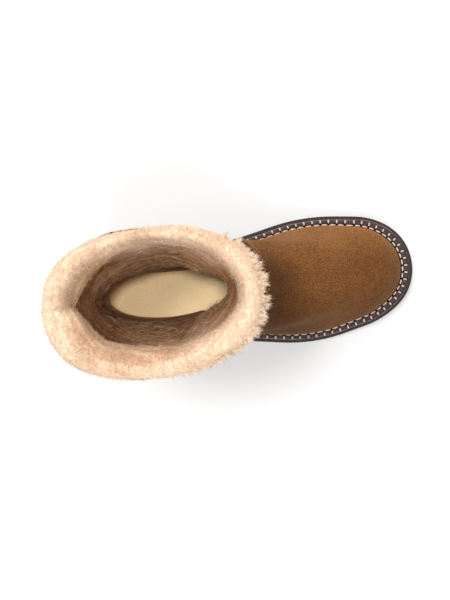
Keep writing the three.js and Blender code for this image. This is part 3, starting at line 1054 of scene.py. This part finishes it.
def make_fleece(collar, skin):
    """The wool that fills the wall inside the suede, rolls over the collar and lines the boot."""
    fleece = copy_of("upper", "fleece_body")
    outside = suede_faces(fleece)
    backed = np.zeros(len(fleece.data.vertices), dtype=bool)
    for polygon in fleece.data.polygons:
        if outside[polygon.index]:
            backed[list(polygon.vertices)] = True
    places, normals = vertices_of(fleece)
    places[backed] -= normals[backed] * (SUEDE + SUEDE_GAP) * MM
    move_to(fleece, places)
    refine(fleece, 2)
    places, normals = vertices_of(fleece)
    high = places[:, 2] / MM
    inside = ~facing_out(places, normals) | (high > SUEDE_TOP - 2)
    roll = smoothstep(high, SUEDE_TOP - 8, SUEDE_TOP + 2)
    angle, depth = collar.measure(places)

    inwards = -from_shaft(places)[:, :2]
    lean = held_off(lean_in(places, angle, depth, inside), places, inwards, inside, skin)
    places[:, :2] += inwards * lean[:, None] * MM
    places[:, :2] -= to_waist(places, inside, skin) * MM
    places[:, 2] -= by_angle(places, SLOPE) * smoothstep(depth, 0.3, 1.0) * roll * MM

    # the crease over the seam at the back
    crease = bell(back_seam_offset(places), 2.2) * (places[:, 0] < SHAFT_MIDDLE.x) * roll
    places[:, 2] -= crease * (1.5 + 2.5 * depth) * MM

    lumps = waves(places, 11, 3) * 0.4 + waves(places, 4, 4) * 0.2 + waves(places, 34, 5) * (0.4 + 0.6 * roll)
    lumps += streaks(places, 22, 4, 6) * 0.6 + streaks(places, 30, 13, 7) * (1.3 - 0.9 * roll)
    places += normals * (lumps * inside * (0.15 + 0.85 * smoothstep(high, 60, 130)) * MM)[:, None]
    move_to(fleece, places)
    for name, numbers in zip(("east", "north", "rise"), drawn_out(angle, places, STREAK_LONG, STREAK_WIDE).T):
        set_number(fleece, name, numbers)
    set_number(fleece, "tone", wool_tone_and_shade(places, collar))
    finish_piece(fleece, fleece_finish(), "suede")
    return fleece


def wool_locks(name, roots, along, bend, length, radius, curl, tone):
    """Thousands of curved tapering locks in one piece. Each leaves its root along one direction and
    curls towards another."""
    count, sides, stations = len(roots), LOCK_SIDES, LOCK_STATIONS
    share = np.linspace(0, 1, stations + 1)
    turn = curl[:, None] * share[None, :]
    sine, cosine = np.sin(turn)[..., None], np.cos(turn)[..., None]
    along, bend = along[:, None, :], bend[:, None, :]
    reach = (length / np.maximum(curl, 1e-3))[:, None, None]
    spine = roots[:, None, :] + reach * (sine * along + (1 - cosine) * bend)
    outer = cosine * bend - sine * along
    side = np.cross(along, bend)
    taper = np.interp(share, [0, 0.3, 0.7, 1], [0.8, 1.0, 0.7, 0.0])
    angle = np.arange(sides) / sides * 2 * math.pi
    size = radius[:, None, None, None] * taper[None, :stations, None, None]
    rings = spine[:, :stations, None, :] + size * (
        outer[:, :stations, None, :] * np.cos(angle)[None, None, :, None]
        + side[:, :, None, :] * np.sin(angle)[None, None, :, None]
    )
    places = np.concatenate([rings.reshape(count, -1, 3), spine[:, -1:, :]], axis=1)
    each = stations * sides + 1
    ring = np.arange(sides)
    faces = []
    for station in range(stations - 1):
        low = station * sides + ring
        high = low + sides
        ahead, above = np.roll(low, -1), np.roll(high, -1)
        faces += [np.stack([low, ahead, above], axis=1), np.stack([low, above, high], axis=1)]
    top = (stations - 1) * sides + ring
    faces.append(np.stack([top, np.roll(top, -1), np.full(sides, each - 1)], axis=1))
    faces.append(ring[None, ::-1])
    piece = mesh_piece(name, places.reshape(-1, 3), repeated(np.vstack(faces), count, each))
    set_number(piece, "tone", np.repeat(tone, each))
    set_number(piece, "reach", np.tile(np.append(np.repeat(share[:stations], sides), 1.0), count))
    return piece


def scatter(piece, count, weight, rng):
    """Points spread over a piece, more of them where weight is high, with the surface's normals."""
    piece.data.calc_loop_triangles()
    corners = np.array([t.vertices[:] for t in piece.data.loop_triangles])
    places, normals = vertices_of(piece)
    a, b, c = [places[corners[:, k]] for k in range(3)]
    area = np.linalg.norm(np.cross(b - a, c - a), axis=1) / 2
    share = area * weight((a + b + c) / 3, normals[corners].mean(axis=1))
    picked = rng.choice(len(corners), size=count, p=share / share.sum())
    u, v = rng.random(count), rng.random(count)
    over = u + v > 1
    u[over], v[over] = 1 - u[over], 1 - v[over]
    w = 1 - u - v
    spots = a[picked] * w[:, None] + b[picked] * u[:, None] + c[picked] * v[:, None]
    n = normals[corners[picked]]
    facing = n[:, 0] * w[:, None] + n[:, 1] * u[:, None] + n[:, 2] * v[:, None]
    return spots, unit(facing)


def on_roll(places, normals):
    """Where the strands of the roll grow, thinner along its lower edge."""
    return (places[:, 2] > ROLL_FROM) * (0.35 + 0.65 * (places[:, 2] > ROLL_FROM + 3 * MM))


def in_lining(places, normals):
    hollow = ~facing_out(places, normals) & (places[:, 2] < ROLL_FROM + 2 * MM)
    return hollow * smoothstep(places[:, 2] / MM, 100, 150)


def at_front(places, normals):
    """Where the tufts stand out over the suede."""
    low = (places[:, 2] > ROLL_FROM - 1 * MM) & (places[:, 2] < ROLL_FROM + 12 * MM)
    return low * (np.sum(normals * from_shaft(places), axis=1) > 0.3) * by_angle(places, TUFTED)


class Wool:
    """The strands on the fleece. All their draws come from one seeded source, so their order matters."""

    def __init__(self, fleece, collar):
        self.fleece, self.collar = fleece, collar
        self.draw = np.random.default_rng(7)
        self.material = wool_finish()

    def scatter(self, count, weight):
        return scatter(self.fleece, count, weight, self.draw)

    def lean_over(self, facing, lie, least, most):
        """Directions that lean over from the surface's normals by between these radians."""
        lean = self.draw.uniform(least, most, len(lie))[:, None]
        return unit(facing * np.cos(lean) + lie * np.sin(lean))

    def flow(self, spots, facing, wander, seed):
        """Either way round the shaft along the surface, wandering a little."""
        up = np.array([0.0, 0.0, 1.0])
        round_shaft = np.cross((spots - np.array(SHAFT_MIDDLE)) * np.array([1, 1, 0]), up) * -20
        lie = flat_part(np.cross(up, facing) + round_shaft + swirl(spots, 16, seed) * wander, facing)
        return lie * self.draw.choice([-1.0, 1.0], len(spots))[:, None]

    def grow(self, name, spots, sunk, along, bend, length, thick, curl, spread, paler=0.0):
        """Sets locks on the fleece with their roots sunk in it, and varies their thickness, curl and tone."""
        radius = self.draw.uniform(*thick, len(spots)) * MM
        turn = self.draw.uniform(*curl, len(spots))
        tone = wool_tone_and_shade(spots, self.collar) + self.draw.normal(0, spread, len(spots))
        tone = np.clip(tone, 0, PALEST_TONE) + paler
        piece = wool_locks(name, spots - sunk, along, bend, length, radius, turn, tone)
        finish_piece(piece, self.material, "suede")

    def rim_locks(self, name, count=9500):
        """Long locks that lie over the roll."""
        spots, facing = self.scatter(count, on_roll)
        lie = self.flow(spots, facing, 2.2, 20)
        lie = flat_part(lie + self.draw.normal(0, 0.35, spots.shape), facing)
        along = self.lean_over(facing, lie, 1.28, 1.52)
        bend = unit(self.draw.normal(0, 0.5, spots.shape) - np.cross(along, np.cross(facing, along)))
        bend = flat_part(bend, along)
        _, depth = self.collar.measure(spots)
        length = self.draw.uniform(4, 8, count) * (1 - 0.65 * smoothstep(depth, 0.7, 1.0)) * MM
        self.grow(name, spots, facing * 0.3 * MM, along, bend, length, (0.08, 0.18), (0.3, 1.6), 0.045)

    def rim_fuzz(self, count=8500):
        """Short crimped wool that stands up between them."""
        spots, facing = self.scatter(count, on_roll)
        lie = flat_part(swirl(spots, 11, 24) + self.draw.normal(0, 0.35, spots.shape), facing)
        along = self.lean_over(facing, lie, 0.4, 1.2)
        bend = unit(np.cross(along, self.draw.normal(0, 1, spots.shape)))
        length = self.draw.uniform(1.8, 4.0, count) * MM
        self.grow("wool_rim_fuzz", spots, facing * 0.4 * MM, along, bend, length, (0.08, 0.17), (0.4, 2.2),
                  0.05)

    def lining_locks(self, count=5000):
        """Matted locks that lie round the inside of the shaft."""
        spots, facing = self.scatter(count, in_lining)
        along = self.lean_over(facing, self.flow(spots, facing, 1.0, 31), 1.42, 1.56)
        bend = flat_part(facing, along) * self.draw.uniform(-0.2, 1, count)[:, None]
        bend = unit(bend + np.cross(along, facing) * self.draw.normal(0, 0.4, count)[:, None])
        length = self.draw.uniform(6, 12, count) * (1 - 0.6 * smoothstep(spots[:, 2] / MM, 190, 210)) * MM
        self.grow("wool_lining_locks", spots, facing * 0.3 * MM, along, bend, length, (0.1, 0.2), (0.2, 0.6),
                  0.22, 0.06)

    def tufts(self, bunches=245, each=26):
        """Bunches of strands over the front of the collar, each drawn together towards one tip."""
        spots, facing = self.scatter(bunches, at_front)
        outwards = from_shaft(spots)
        front = np.clip(outwards[:, 0], 0, 1)
        droop = np.array([0.0, 0.0, -1.0]) * self.draw.uniform(-0.2, 0.45, bunches)[:, None]
        along = unit(outwards + droop + self.draw.normal(0, 0.38, spots.shape))
        reach = self.draw.uniform(2.2, 3.6, bunches) + front * self.draw.uniform(0.0, 5.0, bunches)
        tips = np.repeat(spots + along * reach[:, None] * MM, each, axis=0)
        roots = np.repeat(spots - facing * 0.8 * MM, each, axis=0)
        across = flat_part(self.draw.normal(0, 1, roots.shape), np.repeat(facing, each, axis=0))
        roots += across * self.draw.uniform(0, 1.7, len(roots))[:, None] * MM
        tips += self.draw.normal(0, 0.4, tips.shape) * MM
        path = tips - roots
        length = np.linalg.norm(path, axis=1) * self.draw.uniform(0.6, 1.05, len(path))
        path = unit(path)
        bend = unit(np.cross(path, self.draw.normal(0, 1, path.shape)))
        self.grow("wool_tufts", roots, 0.0, path, bend, length, (0.09, 0.2), (0.1, 0.6), 0.05, 0.08)


# ---- the stitches on the welt ----


class WeltTop:
    """The top of the welt, with a mark at each cross stitch."""

    def __init__(self, welt):
        self.surface = surface_of(welt)
        self.marks = np.arange(stitch_count) * pitch
        self.feather = feather_inset(self.marks)

    def heights(self, points):
        """The height of the welt straight under each plan point, or nan beside it."""
        starts = [Vector((x, y, WELT_CLEAR * MM)) for x, y in points]
        found = [self.surface.ray_cast(start, Vector((0, 0, -1)))[0] for start in starts]
        return np.array([hit.z if hit else np.nan for hit in found])

    def path(self, marks, insets):
        """Points on it, at these distances round the sole and insets from its outline."""
        points, _, _ = sole_outline.at(marks, insets)
        return np.column_stack([points, self.heights(points)])


def make_cross_stitches(top, share):
    """Short stitches across the welt, sunk at both ends."""
    start = top.feather - CROSS_FROM * MM
    end = np.maximum(top.feather - CROSS_TO * MM, (LEDGE + 0.3) * MM)
    cross = np.stack([top.path(top.marks, start * (1 - s) + end * s) for s in share], axis=1)
    cross = np.where(np.isnan(cross), cross[:, 4:5], cross)
    cross[:, :, 2] += np.interp(share, [0, 0.15, 0.6, 1], [-0.9, 0.4, 0.25, -1.0]) * MM
    piece = thread_mesh("welt_cross_stitches", cross, THREAD * 1.15 * MM, 1.5, 0.8)
    finish_piece(piece, thread_finish("rose thread", rgb(150, 122, 112), rgb(212, 186, 174)), "welt_rubber")


def make_running_stitches(top, share):
    """The running stitch beside the upper, one stitch between each two holes."""
    gap = RUNNING_GAP * MM
    rows = []
    for s in share:
        along = top.marks + gap + (pitch - 2 * gap) * s
        rows.append(top.path(along, feather_inset(along) - RUNNING_OUT * MM))
    running = np.stack(rows, axis=1)
    lift = np.interp(share, [0, 0.14, 0.5, 0.86, 1], [-0.7, 0.7, 1.0, 0.7, -0.7]) * MM
    running[:, :, 2] = np.nanmean(running[:, 2:7, 2], axis=1)[:, None] + lift
    piece = thread_mesh("welt_running_stitches", running, THREAD * 0.92 * MM, 2.5, 0.9)
    finish_piece(piece, thread_finish("cream thread", rgb(176, 150, 134), rgb(226, 206, 190)), "welt_rubber")


def make_stitch_hole_shade(top, sides=10, lift=0.12 * MM):
    """Dark discs just above the strip: painted shade in the holes that both threads go down."""
    middle = top.path(top.marks, top.feather - HOLE_OUT * MM)
    _, inwards, along = sole_outline.at(top.marks)
    turn = np.arange(sides) / sides * 2 * math.pi
    flat = np.cos(turn)[:, None] * inwards[:, None] * HOLE_ACROSS
    flat += np.sin(turn)[:, None] * along[:, None] * HOLE_ALONG
    rim = middle[:, None, :2] + flat * MM
    heights = top.heights(rim.reshape(-1, 2)).reshape(stitch_count, sides, 1)
    heights = np.where(np.isnan(heights), middle[:, None, 2:], heights)
    rim = np.concatenate([rim, heights], axis=2)
    places = np.concatenate([rim, middle[:, None, :]], axis=1) + np.array([0, 0, lift])
    fan = np.stack([np.full(sides, sides), (np.arange(sides) + 1) % sides, np.arange(sides)], axis=1)
    piece = mesh_piece("welt_stitch_hole_shade", places.reshape(-1, 3), repeated(fan, stitch_count, sides + 1))
    finish_piece(piece, hole_shade_finish(), "welt_rubber")


def make_bead(top, count=640):
    """The fine raised line along the welt's outer edge."""
    marks = np.arange(count) * sole_outline.length / count
    bead = top.path(marks, np.full(count, (LEDGE + 0.25) * MM))
    high = np.where(np.isnan(bead[:, 2]), np.nanmean(bead[:, 2]), bead[:, 2])
    bead[:, 2] = (np.roll(high, 1) + high * 2 + np.roll(high, -1)) / 4
    finish_piece(ring_tube("welt_bead", bead, BEAD * MM), bead_finish(), "welt_rubber")


# ---- putting it together ----

make_camera()
make_studio()

sole_outline = Outline(by_length(slice_loops("outsole", SOLE_LEVEL))[-1])
upper_outline = Outline(by_length(slice_loops("upper", FEATHER_LEVEL))[-1])
feather_marks = np.linspace(0, sole_outline.length, 240, endpoint=False)
feather_insets = -upper_outline.locate(sole_outline.at(feather_marks)[0])[1]
stitch_count = round(sole_outline.length / (STITCH_PITCH * MM))
pitch = sole_outline.length / stitch_count


def feather_inset(distances):
    """How far in from the sole's outline the upper meets the sole, at distances along the outline."""
    return np.interp(distances, feather_marks, feather_insets, period=sole_outline.length)


make_outsole()
welt = make_welt()
make_insole()
skin = make_suede()
make_seams(skin)

collar = Collar()
wool = Wool(make_fleece(collar, skin), collar)
wool.rim_locks("wool_rim_first")
wool.rim_locks("wool_rim_second")
wool.rim_fuzz()
wool.lining_locks()
wool.tufts()

welt_top = WeltTop(welt)
stations = np.linspace(0, 1, 9)
make_cross_stitches(welt_top, stations)
make_running_stitches(welt_top, stations)
make_stitch_hole_shade(welt_top)
make_bead(welt_top)
